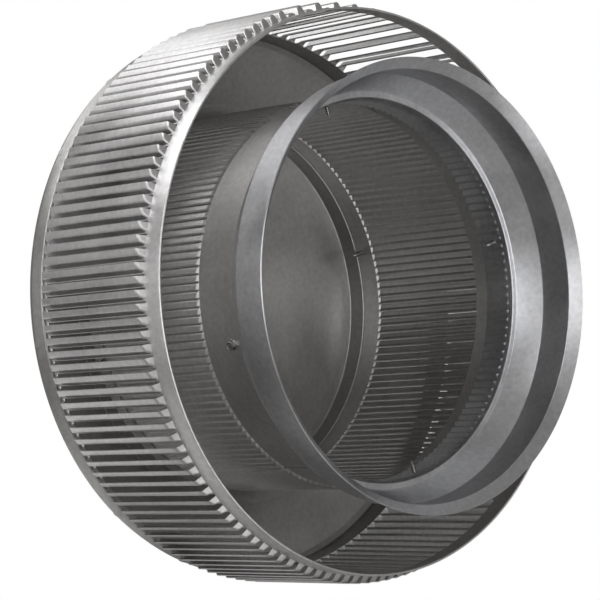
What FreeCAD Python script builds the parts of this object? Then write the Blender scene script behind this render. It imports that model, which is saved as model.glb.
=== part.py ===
# Louvred vent cap: a slip-over pipe adapter, a louvred drum, a louvred outer band and a dome.
# Millimetres. The mouth is at z 0, the dome is on top, and z is the axis.
import FreeCAD, Part
import math
import os

os.makedirs("parts", exist_ok=True)

# Driving sizes: the pipe, the two tubes and the heights of the head.
pipe_diameter = 323.9
pipe_clearance = 1.7
drum_radius = 149.1
band_radius = 217.4
band_low = 58.0
band_height = 149.4
band_taper = 2.0
dome_rise = 12.7
plateau_step = 13.8
step_inset = 1.0

# Sheet and fits.
louvre_sheet = 0.8
formed_sheet = 0.9
slip_fit = 0.3
touch_fit = 0.15

# Adapter: flared lip, socket, cone, flat ledge and crimped neck.
lip_flare = 7.7
socket_depth = 34.9
cone_height = 17.6
ledge_width = 4.0
neck_length = 25.9
crimp_count = 140
crimps_per_flat = 2
crimp_depth = 3.4
crimp_start = 1.0

# Louvres of the outer band, and its plain borders.
band_louvres = 140
band_border_low = 16.0
band_border_high = 17.4
band_lifts = (7.2, 5.8)
band_tip_low = 5.0
band_tip_high = 3.5
band_hem = 3.0
band_seam_angle = 206.5
band_seam_low = 6.7
band_seam_length = 8.7

# Louvres of the drum, which face the other way round, and its plain borders.
drum_louvres = 154
drum_border_low = 39.4
drum_border_high = 17.0
drum_lifts = (3.3, 3.3)
drum_tip_low = 4.5
drum_tip_high = 3.5
drum_seam_angle = 207.7
drum_seam_low = 16.5
drum_seam_length = 30.5

# Both tubes: where a louvre stands in its pitch, as parts of the pitch.
louvre_root = 0.06
louvre_edge = 0.67
louvre_web = 0.97
louvres_per_flat = 2

# Dome: skirt over the band, bent rim, hem at the skirt's lower edge.
skirt_height = 16.7
rim_bend = 3.0
skirt_hem = 4.3
step_draft = 0.6

# Angle ring that carries the drum under the dome.
ring_leg = 12.0
ring_flange = 12.0

# Screws, hex washer head. Round bars get this many sides.
round_sides = 8
screw_radius = 2.1
screw_length = 13.0
screw_point = 3.0
screw_tip_radius = 0.3
washer_radius = 4.3
washer_height = 0.9
hex_flats = 6.4
hex_height = 3.0
screw_count = 4
adapter_screw_angle = 74.5
adapter_screw_rise = 10.8
drum_screw_angle = 73.5
drum_screw_drop = 6.0

# Rivets of the skirt.
rivet_count = 18
rivet_angle = 281.6
rivet_drop = 4.3
rivet_radius = 2.0
rivet_head_radius = 4.6
rivet_head_height = 0.6
rivet_tail_radius = 3.0
rivet_tail_height = 1.0
drill_start = -12.0
drill_length = 18.0

# Places that follow from them.
socket_radius = pipe_diameter / 2 + pipe_clearance
neck_radius = drum_radius - louvre_sheet - slip_fit
ledge_height = socket_depth + cone_height
neck_low = ledge_height + formed_sheet
drum_low = neck_low + touch_fit
band_high = band_low + band_height
skirt_radius = band_radius - band_taper + slip_fit + formed_sheet
rim_height = band_high + touch_fit + rim_bend
step_radius = drum_radius - louvre_sheet - step_inset
step_height = rim_height + dome_rise
dome_slope = dome_rise / (skirt_radius - step_radius)


def under_dome(radius):
    """Height of the dome's sloped underside."""
    return rim_height + dome_slope * (skirt_radius - radius)


drum_high = under_dome(drum_radius) - touch_fit


def polar(radius, angle, z):
    return FreeCAD.Vector(radius * math.cos(angle), radius * math.sin(angle), z)


def closed_line(points):
    return Part.makePolygon(points + points[:1])


def facet(points):
    """Flat face through the points."""
    return Part.Face(closed_line(points))


def closed_solid(faces):
    """Sews the faces into one solid that points outwards."""
    shell = Part.Shell(faces)
    if Part.Solid(shell).Volume < 0:
        shell.reverse()
    return Part.Solid(shell)


def outline(points):
    """Points given as radius and height, in the xz plane."""
    return [FreeCAD.Vector(radius, 0, z) for radius, z in points]


def turned(points):
    """Closed profile turned about z."""
    return facet(outline(points)).revolve(FreeCAD.Vector(), FreeCAD.Vector(0, 0, 1), 360)


def spun(points, wall):
    """Sheet turned about z; points run down its inner side, and the wall is added outside."""
    sheet = Part.makePolygon(outline(points)).makeOffset2D(wall, 2, True, True)
    return sheet.revolve(FreeCAD.Vector(), FreeCAD.Vector(0, 0, 1), 360)


class Flat:
    """One flat of a tube, which may narrow upwards. Places along it run from 0 to 1."""

    def __init__(self, radius, wall, start, end, foot=0.0, slope=0.0):
        self.radius = radius
        self.wall = wall
        self.ends = (start, end)
        self.foot = foot
        self.slope = slope
        self.out = polar(1.0, (start + end) / 2, 0)
        self.chord = polar(radius, end, 0) - polar(radius, start, 0)
        self.flatness = math.cos((end - start) / 2)
        self.depth = wall * self.flatness

    def reach(self, z):
        """Radius of the flat's corners at a height."""
        return self.radius - self.slope * (z - self.foot)

    def at(self, along, z, lift=0.0, inside=False):
        """Point inside the flat, on the outer or inner skin, lifted outwards."""
        shift = self.reach(z) * self.flatness + lift - (self.depth if inside else 0.0)
        return self.out * shift + self.chord * (along - 0.5) + FreeCAD.Vector(0, 0, z)

    def corner(self, along, z, inside=False):
        """Point on the line between the flat's two corners, on the outer or inner skin."""
        radius = self.reach(z) - (self.wall if inside else 0.0)
        start, end = [polar(radius, angle, z) for angle in self.ends]
        return start + (end - start) * along

    def strip(self, inset_low, z_low, inset_high, z_high):
        """Wire across the whole flat between two of its edges."""
        low = [polar(self.reach(z_low) - inset_low, angle, z_low) for angle in self.ends]
        high = [polar(self.reach(z_high) - inset_high, angle, z_high) for angle in self.ends]
        return Part.makePolygon([low[0], low[1], high[1], high[0], low[0]])


def louvre_faces(flat, root, edge, web, lift, low, high, tip_low, tip_high):
    """One louvre: a blade, fast along its root and at both ends, beside an open gap."""
    faces = []
    holes = []
    for inside in (False, True):
        root_low = flat.at(root, low, 0, inside)
        root_high = flat.at(root, high, 0, inside)
        foot_low = flat.at(edge, low, 0, inside)
        foot_high = flat.at(edge, high, 0, inside)
        edge_low = flat.at(edge, low + tip_low, lift, inside)
        edge_high = flat.at(edge, high - tip_high, lift, inside)
        web_low = flat.at(web, low, 0, inside)
        web_high = flat.at(web, high, 0, inside)
        faces.append(facet([root_low, edge_low, edge_high, root_high]))
        faces.append(facet([root_low, foot_low, edge_low]))
        faces.append(facet([root_high, edge_high, foot_high]))
        holes.append(closed_line([root_low, foot_low, web_low, web_high, foot_high, root_high]))
    places = [(web, low, 0), (edge, low, 0), (edge, low + tip_low, lift)]
    places += [(edge, high - tip_high, lift), (edge, high, 0), (web, high, 0)]
    faces += thickness_faces(flat, places)
    return holes, faces


def thickness_faces(flat, places):
    """Cut edges of the sheet, between its two skins, around a closed run of places."""
    faces = []
    for first, second in zip(places, places[1:] + places[:1]):
        outer = [flat.at(*first), flat.at(*second)]
        inner = [flat.at(*second, True), flat.at(*first, True)]
        faces.append(facet(outer + inner))
    return faces


def louvred_tube(radius, taper, z_low, z_high, low, high, count, turn, phase, lifts,
                 tip_low, tip_high, hem, seam_low, seam_high):
    """Rolled sheet with a ring of louvres; turn is the way round that their edges face."""
    faces = []
    flats = count // louvres_per_flat
    slope = taper / (z_high - z_low)
    for index in range(flats):
        start = math.radians(phase) + turn * 2 * math.pi * index / flats
        end = start + turn * 2 * math.pi / flats
        flat = Flat(radius, louvre_sheet, start, end, z_low, slope)
        outer = [flat.strip(0, z_low, 0, z_high)]
        inner = [flat.strip(louvre_sheet, z_low + hem, louvre_sheet, z_high)]
        for place in range(louvres_per_flat):
            root = (place + louvre_root) / louvres_per_flat
            web = (place + louvre_web) / louvres_per_flat
            edge = (place + louvre_edge) / louvres_per_flat
            lift = lifts[place % 2]
            holes, louvre = louvre_faces(flat, root, edge, web, lift, low, high, tip_low, tip_high)
            outer.append(holes[0])
            inner.append(holes[1])
            faces += louvre
        if index == 0:
            near = 0.1 * louvre_root / louvres_per_flat
            far = 0.9 * louvre_root / louvres_per_flat
            slit = [(near, seam_low, 0), (far, seam_low, 0), (far, seam_high, 0), (near, seam_high, 0)]
            for panel, inside in ((outer, False), (inner, True)):
                panel.append(closed_line([flat.at(*place, inside) for place in slit]))
            faces += thickness_faces(flat, slit)
        faces.append(Part.makeFace(outer, "Part::FaceMakerBullseye"))
        faces.append(Part.makeFace(inner, "Part::FaceMakerBullseye"))
        faces.append(Part.Face(flat.strip(0, z_high, louvre_sheet, z_high)))
        if hem:
            fold = 2 * louvre_sheet
            faces.append(Part.Face(flat.strip(0, z_low, fold, z_low)))
            faces.append(Part.Face(flat.strip(fold, z_low, fold, z_low + hem)))
            faces.append(Part.Face(flat.strip(fold, z_low + hem, louvre_sheet, z_low + hem)))
        else:
            faces.append(Part.Face(flat.strip(0, z_low, louvre_sheet, z_low)))
    return closed_solid(faces)


def crimp_faces(flat_low, flat_high):
    """One pleat of the neck on each skin, pushed inwards and deeper towards the open edge."""
    faces = []
    edges = []
    for (first, last, fold), (first_end, last_end, fold_end) in zip(flat_low, flat_high):
        faces.append(facet([first, last, fold]))
        for crest, crest_end in ((first, first_end), (last, last_end)):
            faces.append(facet([crest, fold, fold_end]))
            faces.append(facet([crest, fold_end, crest_end]))
        edges.append((first_end, fold_end, last_end))
    outer, inner = edges
    faces.append(facet([outer[0], outer[1], inner[1], inner[0]]))
    faces.append(facet([outer[1], outer[2], inner[2], inner[1]]))
    return faces


def neck_faces(start, end):
    """Pleats that stand on one flat of the adapter."""
    faces = []
    flat = Flat(neck_radius, formed_sheet, start, end)
    z_high = neck_low + neck_length
    for place in range(crimps_per_flat):
        first, last = place / crimps_per_flat, (place + 1) / crimps_per_flat
        middle = (first + last) / 2
        low, high = [], []
        for inside in (False, True):
            at = [flat.corner(along, neck_low, inside) for along in (first, last)]
            low.append((at[0], at[1], flat.corner(middle, neck_low + crimp_start, inside)))
            at = [flat.corner(along, z_high, inside) for along in (first, last)]
            high.append((at[0], at[1], flat.corner(middle, z_high, inside) - flat.out * crimp_depth))
        faces += crimp_faces(low, high)
    return faces


def around(count, first_angle):
    """Angles of equal parts around the axis, in degrees."""
    return [first_angle + 360 * index / count for index in range(count)]


adapter_screw_angles = around(screw_count, adapter_screw_angle)
drum_screw_angles = around(screw_count, drum_screw_angle)
rivet_angles = around(rivet_count, rivet_angle)
adapter_screw_z = drum_low + adapter_screw_rise
drum_screw_z = drum_high - drum_screw_drop
rivet_z = band_high - rivet_drop


def radial(solid, radius, angle, z):
    """Turns a solid made along x at the axis to its place, its foot at the radius."""
    placed = solid.copy()
    placed.translate(FreeCAD.Vector(radius, 0, z))
    placed.rotate(FreeCAD.Vector(), FreeCAD.Vector(0, 0, 1), angle)
    return placed


def ring_of_points(radius, sides, x):
    """Corners of a polygon across the x axis."""
    turns = [2 * math.pi * index / sides for index in range(sides)]
    return [FreeCAD.Vector(x, radius * math.cos(turn), radius * math.sin(turn)) for turn in turns]


def rod(radius, length, start=0.0, sides=round_sides):
    """Bar along x."""
    return facet(ring_of_points(radius, sides, start)).extrude(FreeCAD.Vector(length, 0, 0))


def taper(radius, end_radius, start, end):
    """Bar along x that narrows to its end."""
    wires = []
    for size, x in ((radius, start), (end_radius, end)):
        wires.append(closed_line(ring_of_points(size, round_sides, x)))
    return Part.makeLoft(wires, True, True)


def screw():
    """Sheet screw, its washer's foot at 0 and its point inwards."""
    point_start = screw_point - screw_length
    shank = rod(screw_radius, -point_start, point_start)
    point = taper(screw_radius, screw_tip_radius, point_start, -screw_length)
    washer = rod(washer_radius, washer_height)
    head = rod(hex_flats / math.sqrt(3), hex_height, washer_height, 6)
    return shank.fuse(point).fuse(washer).fuse(head).removeSplitter()


def rivet():
    """Flat rivet, its head's foot at 0, its shank through skirt and band, its tail inside."""
    grip = 2 * formed_sheet + slip_fit + louvre_sheet + touch_fit
    shank = rod(rivet_radius, grip, -grip)
    head = rod(rivet_head_radius, rivet_head_height)
    tail = rod(rivet_tail_radius, rivet_tail_height, -grip - rivet_tail_height)
    return shank.fuse(head).fuse(tail).removeSplitter()


def drilled(solid, foot, angles, z, radius):
    """Sheet with holes for fasteners whose heads stand at the radius foot."""
    for angle in angles:
        drill = rod(radius + touch_fit, drill_length, drill_start)
        solid = solid.cut(radial(drill, foot, angle, z))
    return solid


def group(solid, foot, angles, z):
    """Equal fasteners around the axis."""
    return Part.Compound([radial(solid, foot, angle, z) for angle in angles])


def ledge(rim, height, radius, flats):
    """Flat ring between a turned rim and the foot of the neck's flats."""
    circle = Part.Wire(Part.makeCircle(rim, FreeCAD.Vector(0, 0, height)))
    corners = []
    for index in range(flats):
        ends = [polar(radius, 2 * math.pi * turn / flats, height) for turn in (index, index + 1)]
        corners += [ends[0]]
        if height == neck_low:
            corners += [(ends[0] + ends[1]) / 2]
    return Part.makeFace([circle, closed_line(corners)], "Part::FaceMakerBullseye")


def pipe_adapter():
    """Flared lip, socket that slips over the pipe, cone, ledge and crimped neck."""
    bore = neck_radius - formed_sheet
    skin = [
        (bore, ledge_height),
        (neck_radius + ledge_width, ledge_height),
        (socket_radius, socket_depth),
        (socket_radius, lip_flare),
        (socket_radius + lip_flare, 0),
    ]
    section = Part.makePolygon(outline(skin)).makeOffset2D(formed_sheet, 2, True, True)
    faces = []
    rims = {}
    for edge in section.Edges:
        if edge.BoundBox.XMin > neck_radius:
            faces += edge.revolve(FreeCAD.Vector(), FreeCAD.Vector(0, 0, 1), 360).Faces
        elif edge.BoundBox.XLength > formed_sheet:
            rims[edge.BoundBox.ZMin] = edge.BoundBox.XMax
    flats = crimp_count // crimps_per_flat
    faces.append(ledge(rims[min(rims)], ledge_height, bore, flats))
    faces.append(ledge(rims[max(rims)], neck_low, neck_radius, flats))
    for index in range(flats):
        start = 2 * math.pi * index / flats
        end = start + 2 * math.pi / flats
        foot = [polar(bore, angle, ledge_height) for angle in (end, start)]
        top = [polar(bore, angle, neck_low) for angle in (start, end)]
        faces.append(facet(foot + [top[0], (top[0] + top[1]) / 2, top[1]]))
        faces += neck_faces(start, end)
    sheet = closed_solid(faces)
    return drilled(sheet, drum_radius, adapter_screw_angles, adapter_screw_z, screw_radius)


def inner_louvre_drum():
    """Drum whose plain lower border is the collar round the neck."""
    tube = louvred_tube(
        drum_radius, 0, drum_low, drum_high, drum_low + drum_border_low, drum_high - drum_border_high,
        drum_louvres, -1, drum_seam_angle, drum_lifts, drum_tip_low, drum_tip_high,
        0, drum_low + drum_seam_low, drum_low + drum_seam_low + drum_seam_length)
    tube = drilled(tube, drum_radius, adapter_screw_angles, adapter_screw_z, screw_radius)
    return drilled(tube, drum_radius, drum_screw_angles, drum_screw_z, screw_radius)


def outer_louvre_band():
    """Louvred band round the drum, with a folded lower hem."""
    tube = louvred_tube(
        band_radius, band_taper, band_low, band_high, band_low + band_border_low,
        band_high - band_border_high, band_louvres, 1, band_seam_angle, band_lifts, band_tip_low, band_tip_high,
        band_hem, band_low + band_seam_low, band_low + band_seam_low + band_seam_length)
    return drilled(tube, band_radius, rivet_angles, rivet_z, rivet_radius)


def angle_ring():
    """Angle under the dome: its leg stands round the drum, its flange lies under the slope."""
    leg = drum_radius + touch_fit
    top = under_dome(leg) - touch_fit
    end = leg + ring_flange
    bend = leg + formed_sheet
    profile = [
        (leg, top - ring_leg),
        (leg, top),
        (end, under_dome(end) - touch_fit),
        (end, under_dome(end) - touch_fit - formed_sheet),
        (bend, under_dome(bend) - touch_fit - formed_sheet),
        (bend, top - ring_leg),
    ]
    return drilled(turned(profile), drum_radius, drum_screw_angles, drum_screw_z, screw_radius)


def dome_cap():
    """Dome: skirt with a hem folded inwards, bent rim, shallow slope, step and flat plateau."""
    skirt_low = rim_height - skirt_height
    skin = [
        (0, step_height + plateau_step),
        (step_radius - step_draft, step_height + plateau_step),
        (step_radius, step_height),
        (skirt_radius - rim_bend, under_dome(skirt_radius - rim_bend)),
        (skirt_radius, rim_height - rim_bend),
        (skirt_radius, skirt_low),
    ]
    fold_in = skirt_radius - formed_sheet
    fold_out = skirt_radius + formed_sheet / 2
    fold = [
        (fold_in, skirt_low),
        (fold_in, skirt_low + skirt_hem),
        (fold_out, skirt_low + skirt_hem),
        (fold_out, skirt_low),
    ]
    whole = spun(skin, formed_sheet).fuse(turned(fold)).removeSplitter()
    return drilled(whole, skirt_radius, rivet_angles, rivet_z, rivet_radius)


pieces = {
    "pipe_adapter": pipe_adapter(),
    "inner_louvre_drum": inner_louvre_drum(),
    "outer_louvre_band": outer_louvre_band(),
    "dome_cap": dome_cap(),
    "drum_angle_ring": angle_ring(),
    "adapter_screws": group(screw(), drum_radius, adapter_screw_angles, adapter_screw_z),
    "drum_screws": group(screw(), drum_radius + touch_fit + formed_sheet, drum_screw_angles, drum_screw_z),
    "skirt_rivets": group(rivet(), skirt_radius + formed_sheet, rivet_angles, rivet_z),
}
for name, shape in pieces.items():
    shape.exportStep("parts/" + name + ".step")
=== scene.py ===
import math

import bmesh
import bpy
from mathutils import Matrix, Vector


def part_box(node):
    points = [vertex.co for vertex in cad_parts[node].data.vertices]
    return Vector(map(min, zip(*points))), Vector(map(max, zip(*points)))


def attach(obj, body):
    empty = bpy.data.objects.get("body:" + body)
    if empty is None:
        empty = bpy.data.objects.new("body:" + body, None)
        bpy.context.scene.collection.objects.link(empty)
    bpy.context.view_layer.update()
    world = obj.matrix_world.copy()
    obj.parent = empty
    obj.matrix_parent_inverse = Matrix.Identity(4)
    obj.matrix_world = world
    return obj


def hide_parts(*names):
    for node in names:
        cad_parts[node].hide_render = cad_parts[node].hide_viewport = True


# The vent cap stands on its flared mouth, dome up. Metres; z is the axis of the cap.
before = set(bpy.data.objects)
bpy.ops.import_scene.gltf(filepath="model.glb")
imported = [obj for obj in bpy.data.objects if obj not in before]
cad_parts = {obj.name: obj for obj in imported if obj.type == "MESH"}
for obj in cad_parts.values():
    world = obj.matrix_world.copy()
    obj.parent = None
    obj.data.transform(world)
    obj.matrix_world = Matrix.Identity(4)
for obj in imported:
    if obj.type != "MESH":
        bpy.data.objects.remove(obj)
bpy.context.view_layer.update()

mm = 0.001

# Heights that the frame gives.
lip_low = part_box("pipe_adapter")[0].z
neck_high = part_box("pipe_adapter")[1].z
drum_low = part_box("inner_louvre_drum")[0].z
drum_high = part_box("inner_louvre_drum")[1].z
band_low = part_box("outer_louvre_band")[0].z
band_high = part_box("outer_louvre_band")[1].z
skirt_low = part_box("dome_cap")[0].z
dome_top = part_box("dome_cap")[1].z

# Sheet metal sizes.
louvre_sheet = 0.8 * mm
formed_sheet = 0.9 * mm
drum_radius = 149.1 * mm
band_radius = 217.4 * mm
socket_radius = 163.65 * mm
neck_radius = 148.0 * mm
skirt_radius = 217.5 * mm
step_radius = 147.3 * mm

# Corners this close together count as being at one place, or at one height.
same_place = 0.001 * mm
same_height = 0.01 * mm


def deselect():
    bpy.ops.object.select_all(action="DESELECT")


def pick(*objects):
    """These objects are selected, the first one active."""
    deselect()
    for thing in objects:
        thing.select_set(True)
    bpy.context.view_layer.objects.active = objects[0]


def edit(thing):
    pick(thing)
    bpy.ops.object.mode_set(mode="EDIT")
    bpy.ops.mesh.select_all(action="DESELECT")


def leave_edit():
    bpy.ops.object.mode_set(mode="OBJECT")


def select_where(kind, test):
    """Selects the vertices, edges or faces of the mesh in edit mode that pass the test."""
    bpy.ops.mesh.select_mode(type=kind)
    bpy.ops.mesh.select_all(action="DESELECT")
    mesh = bmesh.from_edit_mesh(bpy.context.edit_object.data)
    parts = {"VERT": mesh.verts, "EDGE": mesh.edges, "FACE": mesh.faces}[kind]
    for part in parts:
        if test(part):
            part.select_set(True)
    mesh.select_flush_mode()
    bmesh.update_edit_mesh(bpy.context.edit_object.data)


def apply_place(thing):
    pick(thing)
    bpy.ops.object.transform_apply(location=True, rotation=True, scale=True)


def turn_by(thing, degrees):
    thing.rotation_euler = (0, 0, math.radians(degrees))
    apply_place(thing)


def thicken(thing, wall, side):
    """Gives a sheet its wall; side 1 adds it outwards and -1 inwards."""
    pick(thing)
    solid = thing.modifiers.new("wall", "SOLIDIFY")
    solid.thickness = wall
    solid.offset = side
    bpy.ops.object.modifier_apply(modifier=solid.name)


def smooth(thing, degrees):
    """Shades a piece smoothly, apart from edges that bend by more than the angle given."""
    pick(thing)
    bpy.ops.object.shade_smooth_by_angle(angle=math.radians(degrees))


def outward(thing):
    edit(thing)
    bpy.ops.mesh.select_all(action="SELECT")
    bpy.ops.mesh.normals_make_consistent(inside=False)
    leave_edit()


def join(name, parts):
    pick(*parts)
    bpy.ops.object.join()
    whole = bpy.context.view_layer.objects.active
    whole.name = name
    return whole


def rounded(points, bend):
    """A run of (radius, height) points with its inner corners bent to the radius given."""
    path = [Vector(points[0])]
    for before, corner, after in zip(points, points[1:], points[2:]):
        before, corner, after = Vector(before), Vector(corner), Vector(after)
        back = (before - corner).normalized()
        on = (after - corner).normalized()
        half = back.angle(on) / 2
        reach = min(bend / math.tan(half), (before - corner).length / 2, (after - corner).length / 2)
        for share in (0.0, 0.25, 0.5, 0.75, 1.0):
            first = corner + back * reach * (1 - share)
            second = corner + on * reach * share
            path.append(first.lerp(second, share))
    path.append(Vector(points[-1]))
    return path


def turned(name, path, steps):
    """A sheet turned about the axis: a ring that is drawn out from point to point."""
    radius, height = path[0]
    deselect()
    bpy.ops.mesh.primitive_circle_add(vertices=steps, radius=radius, location=(0, 0, height))
    thing = bpy.context.object
    thing.name = name
    bpy.ops.object.mode_set(mode="EDIT")
    bpy.ops.mesh.select_mode(type="EDGE")
    bpy.ops.mesh.select_all(action="SELECT")
    for (radius, height), (next_radius, next_height) in zip(path, path[1:]):
        bpy.ops.mesh.extrude_edges_move()
        scale = next_radius / radius
        bpy.ops.transform.resize(value=(scale, scale, 1), center_override=(0, 0, height))
        bpy.ops.transform.translate(value=(0, 0, next_height - height))
    leave_edit()
    apply_place(thing)
    return thing


# Louvres of both tubes. The belly is the line along a blade where it bulges: belly_place is how far
# it lies from the root towards the free edge, and belly_share how much of the blade's lift it has.
# The plain rows keep the borders flat right up to the louvres' ends, and the creases at a blade's
# ends are rounded crease_rounding times as widely as its long folds. Smoothing angles are in degrees.
belly_place = 0.32
belly_share = 0.78
plain_row = 1.2 * mm
crease_rounding = 1.7
crease_steps = 3
fold_steps = 2
louvre_smooth = 36

# Corners of neighbouring cells that lie closer than this are merged.
merge_distance = 0.02 * mm

# Seams: the slit's width, and how far from the seam's place the sheet is cut to make it.
seam_gap = 1.7 * mm
seam_reach = 6 * mm


def louvre_cell(name, radius, taper, pitch, turn, heights, places, lift, tips, fold):
    """One pitch of a louvred sheet, facing along x, cut and pressed as one louvre.

    turn is 1 or -1, for the way in which the louvre opens. heights are the sheet's lower and upper
    edges and the louvre's lower and upper ends. places are the root, the free edge and the web
    beside the gap, in shares of the pitch. The blade's ends rise over the lengths in tips, and fold
    rounds its bends.
    """
    z_low, z_high, low, high = heights
    width = 2 * radius * math.sin(pitch / 2)
    apothem = radius * math.cos(pitch / 2)
    deselect()
    middle = (z_low + z_high) / 2
    bpy.ops.mesh.primitive_plane_add(size=1, location=(apothem, 0, middle), rotation=(0, math.pi / 2, 0))
    cell = bpy.context.object
    cell.name = name
    cell.scale = (z_high - z_low, width, 1)
    apply_place(cell)
    root_y, edge_y, web_y = [turn * width * (place - 0.5) for place in places]

    def near(first, second):
        return abs(first - second) < same_place

    # The plane leans in to the taper, and its columns are set out to the true round.
    bpy.ops.object.mode_set(mode="EDIT")
    select_where("VERT", lambda vertex: vertex.co.z > middle)
    bpy.ops.transform.translate(value=(-taper, 0, 0))
    bpy.ops.transform.resize(value=(1, 1 - taper / radius, 1), center_override=(0, 0, 0))
    for y in (root_y, edge_y, web_y):
        bpy.ops.mesh.select_all(action="SELECT")
        bpy.ops.mesh.bisect(plane_co=(apothem, y, 0), plane_no=(0, 1, 0))
        select_where("VERT", lambda vertex: near(vertex.co.y, y))
        bpy.ops.transform.translate(value=(math.sqrt(radius ** 2 - y ** 2) - apothem, 0, 0))
    for z in (low - plain_row, low, high, high + plain_row):
        bpy.ops.mesh.select_all(action="SELECT")
        bpy.ops.mesh.bisect(plane_co=(apothem, 0, z), plane_no=(0, 0, 1))

    def gap(face):
        centre = face.calc_center_median()
        return low < centre.z < high and abs(centre.y - (edge_y + web_y) / 2) < abs(web_y - edge_y) / 4

    def free_edge(edge):
        ends = sorted(edge.verts, key=lambda end: end.co.z)
        on_edge = all(near(end.co.y, edge_y) for end in ends)
        return on_edge and near(ends[0].co.z, low) and near(ends[1].co.z, high)

    # The gap is cut, and the free edge is lifted between its two tips.
    select_where("FACE", gap)
    bpy.ops.mesh.delete(type="FACE")
    select_where("EDGE", free_edge)
    bpy.ops.mesh.subdivide(number_cuts=2)
    marks = [low + (high - low) / 3, high - (high - low) / 3]
    tip_places = [low + tips[0], high - tips[1]]
    for mark, place in zip(marks, tip_places):
        select_where("VERT", lambda vertex: near(vertex.co.y, edge_y) and near(vertex.co.z, mark))
        bpy.ops.transform.translate(value=(lift, 0, place - mark))
    for end, place in ((low, tip_places[0]), (high, tip_places[1])):

        def crease_end(vertex):
            root_end = near(vertex.co.y, root_y) and near(vertex.co.z, end)
            return root_end or (near(vertex.co.y, edge_y) and near(vertex.co.z, place))

        select_where("VERT", crease_end)
        bpy.ops.mesh.vert_connect()

    def at_tip(vertex):
        return any(near(vertex.co.z, place) for place in tip_places)

    def on_crease(edge):
        """The creases run from the ends of the root fold to the free edge."""
        ends = sorted(edge.verts, key=lambda end: end.co.x)
        root_end = near(ends[0].co.y, root_y) and (near(ends[0].co.z, low) or near(ends[0].co.z, high))
        return root_end and near(ends[1].co.y, edge_y) and at_tip(ends[1])

    # The creases are halved, and the line between their middles becomes the belly.
    select_where("EDGE", on_crease)
    bpy.ops.mesh.subdivide(number_cuts=1)
    middle_y = (root_y + edge_y) / 2
    belly_y = root_y + (edge_y - root_y) * belly_place
    select_where("VERT", lambda vertex: near(vertex.co.y, middle_y))
    bpy.ops.transform.translate(value=(lift * (belly_share - 0.5), belly_y - middle_y, 0))

    def from_root(y):
        """Distance from the root in millimetres, rounded so that distances can be compared."""
        return round(abs(y - root_y) / mm, 3)

    belly = from_root(belly_y)
    free = from_root(edge_y)

    def reach(edge):
        return sorted(from_root(end.co.y) for end in edge.verts)

    def crease(edge):
        root_half = reach(edge) == [0, belly]
        return root_half or (reach(edge) == [belly, free] and any(at_tip(end) for end in edge.verts))

    def long_fold(edge):
        """Root fold and the line along the blade's belly."""
        span = abs(edge.verts[0].co.z - edge.verts[1].co.z)
        return reach(edge) in ([0, 0], [belly, belly]) and span > (high - low) / 2

    select_where("EDGE", crease)
    bpy.ops.mesh.bevel(offset=fold * crease_rounding, segments=crease_steps)
    select_where("EDGE", long_fold)
    bpy.ops.mesh.bevel(offset=fold, segments=fold_steps)
    leave_edit()
    return cell


def ring_of(name, cells, count, choose):
    """Copies cells round the axis and joins them into one sheet; choose tells which cell comes next."""
    copies = []
    for index in range(count):
        copy = cells[choose(index)].copy()
        copy.data = copy.data.copy()
        bpy.context.collection.objects.link(copy)
        copy.data.transform(Matrix.Rotation(2 * math.pi * index / count, 4, "Z"))
        copies.append(copy)
    for cell in cells:
        bpy.data.objects.remove(cell)
    whole = join(name, copies)
    edit(whole)
    bpy.ops.mesh.select_all(action="SELECT")
    bpy.ops.mesh.remove_doubles(threshold=merge_distance)
    bpy.ops.mesh.normals_make_consistent(inside=False)
    leave_edit()
    return whole


def open_seam(thing, radius, low, length):
    """Leaves the lap seam of a ring open as a slit; the seam lies on the x axis."""
    edit(thing)
    seam_side = Vector((radius, 0, 0))

    def near_seam(face):
        centre = face.calc_center_median()
        return (centre * Vector((1, 1, 0)) - seam_side).length < seam_reach

    def in_slit(face):
        centre = face.calc_center_median()
        return abs(centre.y) < seam_gap / 2 and centre.x > 0 and low < centre.z < low + length

    cuts = [((0, 0, z), (0, 0, 1)) for z in (low, low + length)]
    cuts += [((0, y, 0), (0, 1, 0)) for y in (-seam_gap / 2, seam_gap / 2)]
    for place, normal in cuts:
        select_where("FACE", near_seam)
        bpy.ops.mesh.bisect(plane_co=place, plane_no=normal)
    select_where("FACE", in_slit)
    bpy.ops.mesh.delete(type="FACE")
    leave_edit()


# Outer band, a little narrower under the dome. The first two lifts take turns round the top of the
# picture, where every second louvre is pressed lower, and the third one holds elsewhere.
band_count = 140
band_taper = 2.0 * mm
band_border_low = 16.0 * mm
band_border_high = 17.4 * mm
band_heights = (band_low, band_high, band_low + band_border_low, band_high - band_border_high)
band_places = (0.06, 0.8, 0.97)
band_lifts = (7.2 * mm, 3 * mm, 6.7 * mm)
uneven_from = 340
uneven_to = 110
band_tips = (3.5 * mm, 2.6 * mm)
band_fold = 1.1 * mm
band_seam_angle = 206.5
band_seam_low = 6.7 * mm
band_seam_length = 8.7 * mm

# Hem along the band's lower edge. Its corners are the edges that turn by more than hem_sharp radians.
hem_height = 3 * mm
hem_gap = 0.2 * mm
hem_bend = 0.7 * mm
hem_sharp = 1.0


def fold_hem(thing, radius, low):
    """Folds the lower edge of the band inwards and up against its inner face."""

    def at_bottom(edge):
        return all(end.co.z < low + same_height for end in edge.verts)

    edit(thing)
    select_where("EDGE", at_bottom)
    bpy.ops.mesh.extrude_edges_move()
    scale = 1 - (2 * louvre_sheet + hem_gap) / radius
    bpy.ops.transform.resize(value=(scale, scale, 1), center_override=(0, 0, low))
    bpy.ops.mesh.extrude_edges_move()
    bpy.ops.transform.translate(value=(0, 0, hem_height))
    select_where("EDGE", lambda edge: len(edge.link_faces) == 2 and at_bottom(edge)
                 and abs(edge.calc_face_angle(0)) > hem_sharp)
    bpy.ops.mesh.bevel(offset=hem_bend, segments=2)
    leave_edit()


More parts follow.
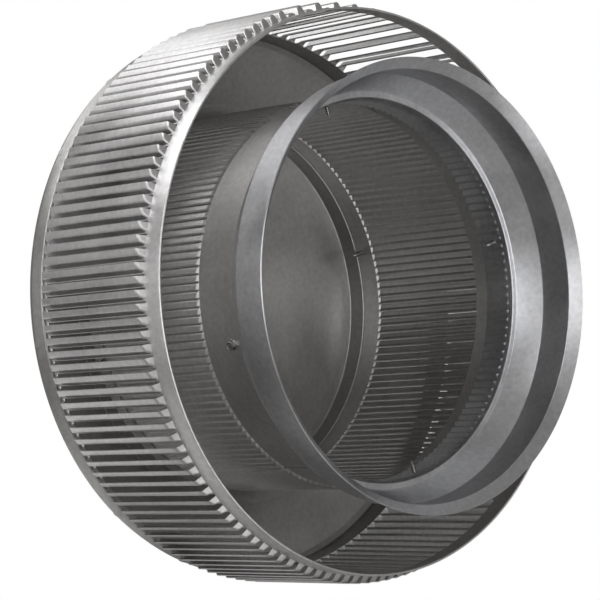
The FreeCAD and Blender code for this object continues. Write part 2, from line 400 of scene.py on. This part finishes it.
def outer_band():
    pitch = 2 * math.pi / band_count
    cells = []
    for index, lift in enumerate(band_lifts):
        cells.append(louvre_cell("louvre_%d" % index, band_radius, band_taper, pitch, 1, band_heights,
                                 band_places, lift, band_tips, band_fold))

    def choose(index):
        angle = (band_seam_angle + 360 * index / band_count) % 360
        if angle < uneven_to or angle > uneven_from:
            return index % 2
        return 2

    band = ring_of("outer_band", cells, band_count, choose)
    turn_by(band, 180 / band_count)
    open_seam(band, band_radius, band_low + band_seam_low, band_seam_length)
    fold_hem(band, band_radius, band_low)
    turn_by(band, band_seam_angle)
    thicken(band, louvre_sheet, -1)
    smooth(band, louvre_smooth)
    return band


# Drum, whose louvres open the other way round.
drum_count = 154
drum_border_low = 39.4 * mm
drum_border_high = 17.0 * mm
drum_heights = (drum_low, drum_high, drum_low + drum_border_low, drum_high - drum_border_high)
drum_places = (0.06, 0.95, 0.97)
drum_lift = 2 * mm
drum_tips = (2 * mm, 0.9 * mm)
drum_fold = 0.4 * mm
drum_seam_angle = 207.7
drum_seam_low = 16.5 * mm
drum_seam_length = 30.5 * mm


def inner_drum():
    pitch = 2 * math.pi / drum_count
    cell = louvre_cell("drum_louvre", drum_radius, 0, pitch, -1, drum_heights,
                       drum_places, drum_lift, drum_tips, drum_fold)
    drum = ring_of("inner_drum", [cell], drum_count, lambda index: 0)
    turn_by(drum, -180 / drum_count)
    open_seam(drum, drum_radius, drum_low + drum_seam_low, drum_seam_length)
    turn_by(drum, drum_seam_angle)
    thicken(drum, louvre_sheet, -1)
    smooth(drum, louvre_smooth)
    return drum


# Pipe adapter. A crimp is a fold over four columns of the neck, which go in by column_shares of its
# depth. It deepens over the rows at its start, placed by start_shares, and keeps its full depth in
# the rows above them.
lip_flare = 7.7 * mm
socket_depth = 34.9 * mm
ledge_height = 52.5 * mm
ledge_width = 4.5 * mm
neck_low = 53.4 * mm
neck_row = 1.5 * mm
adapter_bend = 1.6 * mm
adapter_smooth = 40
crimp_count = 140
crimp_depth = 2 * mm
crimp_low = neck_low + 2.5 * mm
crimp_start = 3 * mm
start_shares = (0, 0.4, 1)
columns_per_crimp = 4
column_shares = ((1, 0.5), (2, 1.0), (3, 0.5))
full_rows = 4


def pipe_adapter():
    bore = neck_radius - formed_sheet
    corners = [
        (socket_radius + lip_flare, lip_low),
        (socket_radius, lip_low + lip_flare),
        (socket_radius, socket_depth),
        (bore + ledge_width, ledge_height),
        (bore, ledge_height),
        (bore, neck_low + neck_row),
    ]
    path = rounded(corners, adapter_bend)
    rows = [crimp_low + crimp_start * share for share in start_shares]
    rows += [rows[-1] + (neck_high - rows[-1]) * (row + 1) / full_rows for row in range(full_rows)]
    path += [Vector((bore, height)) for height in rows]
    adapter = turned("adapter", path, crimp_count * columns_per_crimp)
    step = 2 * math.pi / (crimp_count * columns_per_crimp)
    edit(adapter)
    for height in rows:
        depth = crimp_depth * min(1, (height - crimp_low) / crimp_start)
        for column, share in column_shares:

            def folded(vertex):
                if abs(vertex.co.z - height) > same_height:
                    return False
                place = round(math.atan2(vertex.co.y, vertex.co.x) / step) % columns_per_crimp
                return place == column

            select_where("VERT", folded)
            scale = 1 - depth * share / bore
            bpy.ops.transform.resize(value=(scale, scale, 1), center_override=(0, 0, height))
    leave_edit()
    outward(adapter)
    thicken(adapter, formed_sheet, 1)
    smooth(adapter, adapter_smooth)
    return adapter


# Dome. rim_shares places the bend between skirt and slope, in shares of rim_bend inwards and upwards
# from the rim's corner. One face closes the small hole that the turned sheet leaves in the middle.
skirt_hem = 4.3 * mm
rim_height = skirt_low + 16.7 * mm
rim_bend = 6 * mm
rim_shares = ((0, -1), (0.3, -0.25), (1, 0.18))
step_height = rim_height + 12.7 * mm
step_draft = 0.6 * mm
plateau_height = dome_top - formed_sheet
plateau_row = 100 * mm
centre_hole = 1 * mm
dome_bend = 1.2 * mm
dome_steps = 360
dome_smooth = 30


def dome():
    inside = skirt_radius - formed_sheet
    corners = [
        (inside - formed_sheet, skirt_low + skirt_hem),
        (inside - formed_sheet, skirt_low),
        (inside, skirt_low),
    ]
    corners += [(inside - rim_bend * inwards, rim_height + rim_bend * up) for inwards, up in rim_shares]
    corners += [
        (step_radius, step_height),
        (step_radius - step_draft, plateau_height),
        (plateau_row, plateau_height),
        (centre_hole, plateau_height),
    ]
    cap = turned("dome", rounded(corners, dome_bend), dome_steps)
    edit(cap)
    select_where("VERT", lambda vertex: math.hypot(vertex.co.x, vertex.co.y) < 2 * centre_hole)
    bpy.ops.mesh.edge_face_add()
    leave_edit()
    outward(cap)
    thicken(cap, formed_sheet, 1)
    smooth(cap, dome_smooth)
    return cap


# Screws: hex washer head, made standing up at the axis with the washer's foot at z 0. The core is
# what is left between the threads, and a thread rises, peaks and falls at thread_shares of its pitch.
# Faces whose normal rises above facing_up are the head's top. From one fastener to the next the head
# turns on its own axis by spin_between degrees.
screw_radius = 2.1 * mm
screw_core = screw_radius * 0.72
screw_length = 13 * mm
point_end = 0.2 * mm
point_shoulder = 2.2 * mm
point_length = 3 * mm
thread_pitch = 1.5 * mm
thread_shares = (0.3, 0.55, 0.8)
washer_radius = 4.3 * mm
washer_height = 0.9 * mm
washer_bevel = 0.4 * mm
hex_radius = 3.7 * mm
hex_height = 3 * mm
hex_bevel = 0.5 * mm
hex_rim = 0.7 * mm
hex_dish = 0.5 * mm
facing_up = 0.99
fastener_steps = 24
fastener_smooth = 35
spin_between = 37


def screw_shape():
    """One screw pointing down, its threads as ridges drawn along the shank."""
    height = point_length - screw_length
    path = [(point_end, -screw_length), (screw_core * 0.6, point_shoulder - screw_length),
            (screw_core, height)]
    rise, peak, fall = thread_shares
    while height < -thread_pitch:
        path.append((screw_core, height + thread_pitch * rise))
        path.append((screw_radius, height + thread_pitch * peak))
        path.append((screw_core, height + thread_pitch * fall))
        height += thread_pitch
    path += [(screw_core, 0), (washer_radius, 0), (washer_radius, washer_height * 0.6)]
    path += [(washer_radius - washer_bevel, washer_height), (hex_radius, washer_height)]
    shank = turned("screw_shank", path, fastener_steps)
    deselect()
    bpy.ops.mesh.primitive_cylinder_add(vertices=6, radius=hex_radius, depth=hex_height,
                                        location=(0, 0, washer_height + hex_height / 2))
    head = bpy.context.object
    apply_place(head)
    edit(head)
    select_where("FACE", lambda face: face.normal.z > facing_up)
    bpy.ops.mesh.bevel(offset=hex_bevel, segments=2)
    select_where("FACE", lambda face: face.normal.z > facing_up)
    bpy.ops.mesh.inset(thickness=hex_rim)
    bpy.ops.transform.translate(value=(0, 0, -hex_dish))
    leave_edit()
    return join("screw", [shank, head])


# Rivets of the skirt.
rivet_radius = 3.6 * mm
rivet_height = 0.14 * mm
rivet_bevel = 0.5 * mm
rivet_shank = 2 * mm
rivet_length = 3 * mm
rivet_centre = 0.2 * mm


def rivet_shape():
    """Flat rivet head, dished in the middle, on a short shank."""
    path = [(rivet_shank, -rivet_length), (rivet_shank, 0), (rivet_radius, 0),
            (rivet_radius, rivet_height * 0.5), (rivet_radius - rivet_bevel, rivet_height),
            (rivet_radius * 0.5, rivet_height * 0.8), (rivet_centre, rivet_height * 0.6)]
    return turned("rivet", path, fastener_steps)


def fasteners(name, shape, radius, node, count, first_angle):
    """Copies of a fastener round the axis at the middle height of its node, heads outwards."""
    low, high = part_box(node)
    height = (low.z + high.z) / 2
    copies = []
    for index in range(count):
        copy = shape.copy()
        copy.data = copy.data.copy()
        bpy.context.collection.objects.link(copy)
        angle = math.radians(first_angle) + 2 * math.pi * index / count
        place = Matrix.Rotation(angle, 4, "Z") @ Matrix.Translation((radius, 0, height))
        spin = Matrix.Rotation(math.radians(spin_between * index), 4, "Z")
        copy.data.transform(place @ Matrix.Rotation(math.pi / 2, 4, "Y") @ spin)
        copies.append(copy)
    whole = join(name, copies)
    smooth(whole, fastener_smooth)
    return whole


# Finishes. The grain is the fine drawing of the sheet, the cloud its broad mottling and the specks
# its fine mottling. Between noise_low and noise_high the mottling takes the tone from dull_share to
# bright_share of a finish's own, and the cloud takes the roughness from sleeker below a finish's own
# to rougher above it. Tints are red, green and blue shares of the tone.
grain_scale = 900.0
grain_detail = 3.0
grain_strength = 0.35
grain_height = 0.1 * mm
cloud_scale = 22.0
cloud_detail = 5.0
speck_scale = 260.0
speck_detail = 2.0
speck_share = 0.5
noise_low = 0.3
noise_high = 0.7
dull_share = 0.8
bright_share = 1.12
sleeker = 0.06
rougher = 0.08
neutral_tint = (1.004, 0.996, 1.002)
# Warm tint: a painted warm reflection of the room, given to the drum and dome, which are seen in shade.
painted_warm_reflection_tint = (1.012, 1.003, 0.985)
# Cool tint: painted cool light on the adapter's lit faces.
painted_cool_light_tint = (0.985, 0.993, 1.024)


def mill_aluminium(name, tone, tint, roughness, rings):
    """Bare aluminium sheet; rings draws its grain round the axis, otherwise along it."""
    finish = bpy.data.materials.new(name)
    finish.use_nodes = True
    nodes = finish.node_tree.nodes
    links = finish.node_tree.links
    shader = nodes["Principled BSDF"]
    shader.inputs["Metallic"].default_value = 1.0
    place = nodes.new("ShaderNodeTexCoord")
    split = nodes.new("ShaderNodeSeparateXYZ")
    links.new(place.outputs["Object"], split.inputs[0])
    grain_place = nodes.new("ShaderNodeCombineXYZ")
    if rings:
        flat = nodes.new("ShaderNodeCombineXYZ")
        links.new(split.outputs["X"], flat.inputs["X"])
        links.new(split.outputs["Y"], flat.inputs["Y"])
        radius = nodes.new("ShaderNodeVectorMath")
        radius.operation = "LENGTH"
        links.new(flat.outputs[0], radius.inputs[0])
        links.new(radius.outputs["Value"], grain_place.inputs["X"])
        links.new(split.outputs["Z"], grain_place.inputs["Y"])
    else:
        links.new(split.outputs["X"], grain_place.inputs["X"])
        links.new(split.outputs["Y"], grain_place.inputs["Y"])

    def noise(source, scale, detail):
        pattern = nodes.new("ShaderNodeTexNoise")
        pattern.inputs["Scale"].default_value = scale
        pattern.inputs["Detail"].default_value = detail
        links.new(source, pattern.inputs["Vector"])
        return pattern.outputs["Fac"]

    grain = noise(grain_place.outputs[0], grain_scale, grain_detail)
    cloud = noise(place.outputs["Object"], cloud_scale, cloud_detail)
    speck = noise(place.outputs["Object"], speck_scale, speck_detail)
    mottling = nodes.new("ShaderNodeMix")
    mottling.data_type = "FLOAT"
    mottling.inputs[0].default_value = speck_share
    links.new(cloud, mottling.inputs[2])
    links.new(speck, mottling.inputs[3])
    colour = nodes.new("ShaderNodeValToRGB")
    colour.color_ramp.elements[0].position = noise_low
    colour.color_ramp.elements[0].color = [tone * dull_share * part for part in tint] + [1]
    colour.color_ramp.elements[1].position = noise_high
    colour.color_ramp.elements[1].color = [tone * bright_share * part for part in tint] + [1]
    links.new(mottling.outputs[0], colour.inputs["Fac"])
    links.new(colour.outputs["Color"], shader.inputs["Base Color"])
    sheen = nodes.new("ShaderNodeMapRange")
    sheen.inputs["From Min"].default_value = noise_low
    sheen.inputs["From Max"].default_value = noise_high
    sheen.inputs["To Min"].default_value = roughness - sleeker
    sheen.inputs["To Max"].default_value = roughness + rougher
    links.new(cloud, sheen.inputs["Value"])
    links.new(sheen.outputs["Result"], shader.inputs["Roughness"])
    relief = nodes.new("ShaderNodeBump")
    relief.inputs["Strength"].default_value = grain_strength
    relief.inputs["Distance"].default_value = grain_height
    links.new(grain, relief.inputs["Height"])
    links.new(relief.outputs["Normal"], shader.inputs["Normal"])
    return finish


def dress(thing, finish, slot, *replaced):
    """Gives a new piece its finish, and its place in the frame instead of the nodes named."""
    thing.data.materials.clear()
    thing.data.materials.append(finish)
    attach(thing, "root")
    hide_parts(*replaced)


# The adapter's cool tint is painted cool light.
spun_finish = mill_aluminium("spun_aluminium", 0.74, painted_cool_light_tint, 0.34, True)
rolled_finish = mill_aluminium("rolled_aluminium", 0.74, neutral_tint, 0.37, False)
# The drum's sheet is the band's aluminium made darker and warmer: painted shade of the hollow interior
# and a painted warm reflection.
drum_painted_shade_finish = mill_aluminium("drum_aluminium_painted_shade", 0.58, painted_warm_reflection_tint, 0.36, False)
# The dome's sheet is the adapter's aluminium made darker and warmer: painted shade of its downward faces
# and a painted warm reflection of the room.
cap_painted_shade_finish = mill_aluminium("pressed_aluminium_painted_shade", 0.46, painted_warm_reflection_tint, 0.34, True)
screw_finish = mill_aluminium("zinc_plate", 0.42, neutral_tint, 0.26, True)

# How many fasteners of each kind there are, the angle of the first one in degrees, and the gap that
# the angle ring leaves round the drum.
screw_count = 4
adapter_screw_angle = 74.5
drum_screw_angle = 73.5
rivet_count = 18
rivet_angle = 281.6
ring_gap = 0.15 * mm

dress(outer_band(), rolled_finish, "louvred_sheet", "outer_louvre_band")
dress(inner_drum(), drum_painted_shade_finish, "louvred_sheet", "inner_louvre_drum")
dress(pipe_adapter(), spun_finish, "formed_sheet", "pipe_adapter")
dress(dome(), cap_painted_shade_finish, "formed_sheet", "dome_cap")
screw = screw_shape()
collar_screws = fasteners("adapter_screw_set", screw, drum_radius, "adapter_screws",
                          screw_count, adapter_screw_angle)
dress(collar_screws, screw_finish, "screw", "adapter_screws")
ring_screws = fasteners("drum_screw_set", screw, drum_radius + formed_sheet + ring_gap, "drum_screws",
                        screw_count, drum_screw_angle)
dress(ring_screws, screw_finish, "screw", "drum_screws")
bpy.data.objects.remove(screw)
rivet = rivet_shape()
rivets = fasteners("skirt_rivet_set", rivet, skirt_radius, "skirt_rivets", rivet_count, rivet_angle)
# The rivets take the cap's finish, with its painted shade and painted warm reflection.
dress(rivets, cap_painted_shade_finish, "rivet", "skirt_rivets")
bpy.data.objects.remove(rivet)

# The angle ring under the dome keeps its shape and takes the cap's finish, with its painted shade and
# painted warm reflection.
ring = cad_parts["drum_angle_ring"]
ring.data.materials.clear()
ring.data.materials.append(cap_painted_shade_finish)


# Camera at the photograph's angle: it looks up into the mouth, the dome away from it. The lens and
# the frame's width are in millimetres, and the lip's centre is given in pixels of the picture.
view_distance = 2157.9 * mm
view_tilt = math.radians(43.31)
view_turn = math.radians(5.1)
view_lens = 172.97
frame_width = 36.0
picture_width = 600.0
lip_pixel = (430.80, 285.32)
farthest_view = 20


def photo_camera():
    """The lens sees the lip's centre at its pixel; the axes are right, down and forward."""
    axis = Vector((-math.cos(view_turn) * math.sin(view_tilt),
                   math.sin(view_turn) * math.sin(view_tilt),
                   math.cos(view_tilt)))
    across = Vector((0, -1, 0))
    across = (across - axis * across.dot(axis)).normalized()
    along = axis.cross(across)
    pixels_per_depth = view_lens / frame_width * picture_width
    lip = Vector(((lip_pixel[0] - picture_width / 2) / pixels_per_depth,
                  (lip_pixel[1] - picture_width / 2) / pixels_per_depth, 1)) * view_distance
    to_part = Matrix((across, along, axis))
    place = -(to_part @ lip)
    turn = to_part @ Matrix(((1, 0, 0), (0, -1, 0), (0, 0, -1)))
    data = bpy.data.cameras.new("photo_camera")
    data.lens = view_lens
    data.sensor_width = frame_width
    data.clip_end = farthest_view
    camera = bpy.data.objects.new("photo_camera", data)
    bpy.context.collection.objects.link(camera)
    camera.matrix_world = Matrix.Translation(place) @ turn.to_4x4()
    bpy.context.scene.camera = camera
    return camera


camera = photo_camera()

# Lamps. Each stands so many metres to the right of the cap, above it and towards the lens, as the
# camera sees it, and has its power in watts.
lamp_size = 1.0
lamp_target = Vector((0, 0, 120 * mm))


def softbox(name, right, up, back, power):
    """A square lamp, aimed at the cap's middle."""
    place = lamp_target + camera.matrix_world.to_3x3() @ Vector((right, up, back))
    data = bpy.data.lights.new(name, "AREA")
    data.shape = "SQUARE"
    data.size = lamp_size
    data.energy = power
    lamp = bpy.data.objects.new(name, data)
    bpy.context.collection.objects.link(lamp)
    lamp.location = place
    lamp.rotation_euler = (lamp_target - place).to_track_quat("-Z", "Y").to_euler()


softbox("left", -1.9, 0, 0, 0.8)
softbox("upper_left", -1.35, 1.35, 0, 6.5)
softbox("upper_left_behind", -1.1, 1.1, -1.1, 3.5)
softbox("upper_left_front", -1.1, 1.1, 1.1, 7.5)
softbox("left_front", -1.4, 0, 1.3, 4)
softbox("lower_left", -1.35, -1.35, 0, 0.9)
softbox("lower_left_behind", -1.1, -1.1, -1.1, 1.5)
softbox("beside_lens", 0, 0.3, 1.9, 4.6)
softbox("right_front", 1.4, 0, 1.3, 6.5)
softbox("lower_right_front", 1.1, -1.1, 1.1, 3)

room_colour = (1.0, 0.98, 0.95, 1)
room_strength = 0.22
paper_white = (1, 1, 1, 1)
floor_grey = (0.86, 0.86, 0.86, 1)
floor_roughness = 0.8
floor_size = 12
floor_drop = 0.2 * mm


def room():
    """White behind the object for the lens, soft grey light for its surfaces."""
    world = bpy.data.worlds.new("room")
    world.use_nodes = True
    bpy.context.scene.world = world
    nodes = world.node_tree.nodes
    links = world.node_tree.links
    nodes.clear()
    rays = nodes.new("ShaderNodeLightPath")
    light = nodes.new("ShaderNodeBackground")
    light.inputs["Color"].default_value = room_colour
    light.inputs["Strength"].default_value = room_strength
    paper = nodes.new("ShaderNodeBackground")
    paper.inputs["Color"].default_value = paper_white
    paper.inputs["Strength"].default_value = 1.0
    choice = nodes.new("ShaderNodeMixShader")
    links.new(rays.outputs["Is Camera Ray"], choice.inputs[0])
    links.new(light.outputs[0], choice.inputs[1])
    links.new(paper.outputs[0], choice.inputs[2])
    out = nodes.new("ShaderNodeOutputWorld")
    links.new(choice.outputs[0], out.inputs[0])


def floor():
    """Pale floor under the mouth. Only the lens sees it, from above, so the mouth stays open to view."""
    deselect()
    bpy.ops.mesh.primitive_plane_add(size=floor_size, location=(0, 0, lip_low - floor_drop))
    plane = bpy.context.object
    plane.name = "floor"
    pale = bpy.data.materials.new("pale_floor")
    pale.use_nodes = True
    nodes = pale.node_tree.nodes
    links = pale.node_tree.links
    shader = nodes["Principled BSDF"]
    shader.inputs["Base Color"].default_value = floor_grey
    shader.inputs["Roughness"].default_value = floor_roughness
    clear = nodes.new("ShaderNodeBsdfTransparent")
    side = nodes.new("ShaderNodeNewGeometry")
    rays = nodes.new("ShaderNodeLightPath")
    seen = nodes.new("ShaderNodeMath")
    seen.operation = "SUBTRACT"
    seen.use_clamp = True
    links.new(rays.outputs["Is Camera Ray"], seen.inputs[0])
    links.new(side.outputs["Backfacing"], seen.inputs[1])
    choice = nodes.new("ShaderNodeMixShader")
    links.new(seen.outputs[0], choice.inputs[0])
    links.new(clear.outputs[0], choice.inputs[1])
    links.new(shader.outputs[0], choice.inputs[2])
    links.new(choice.outputs[0], nodes["Material Output"].inputs["Surface"])
    plane.data.materials.append(pale)


room()
floor()
bpy.context.scene.view_settings.view_transform = "Standard"
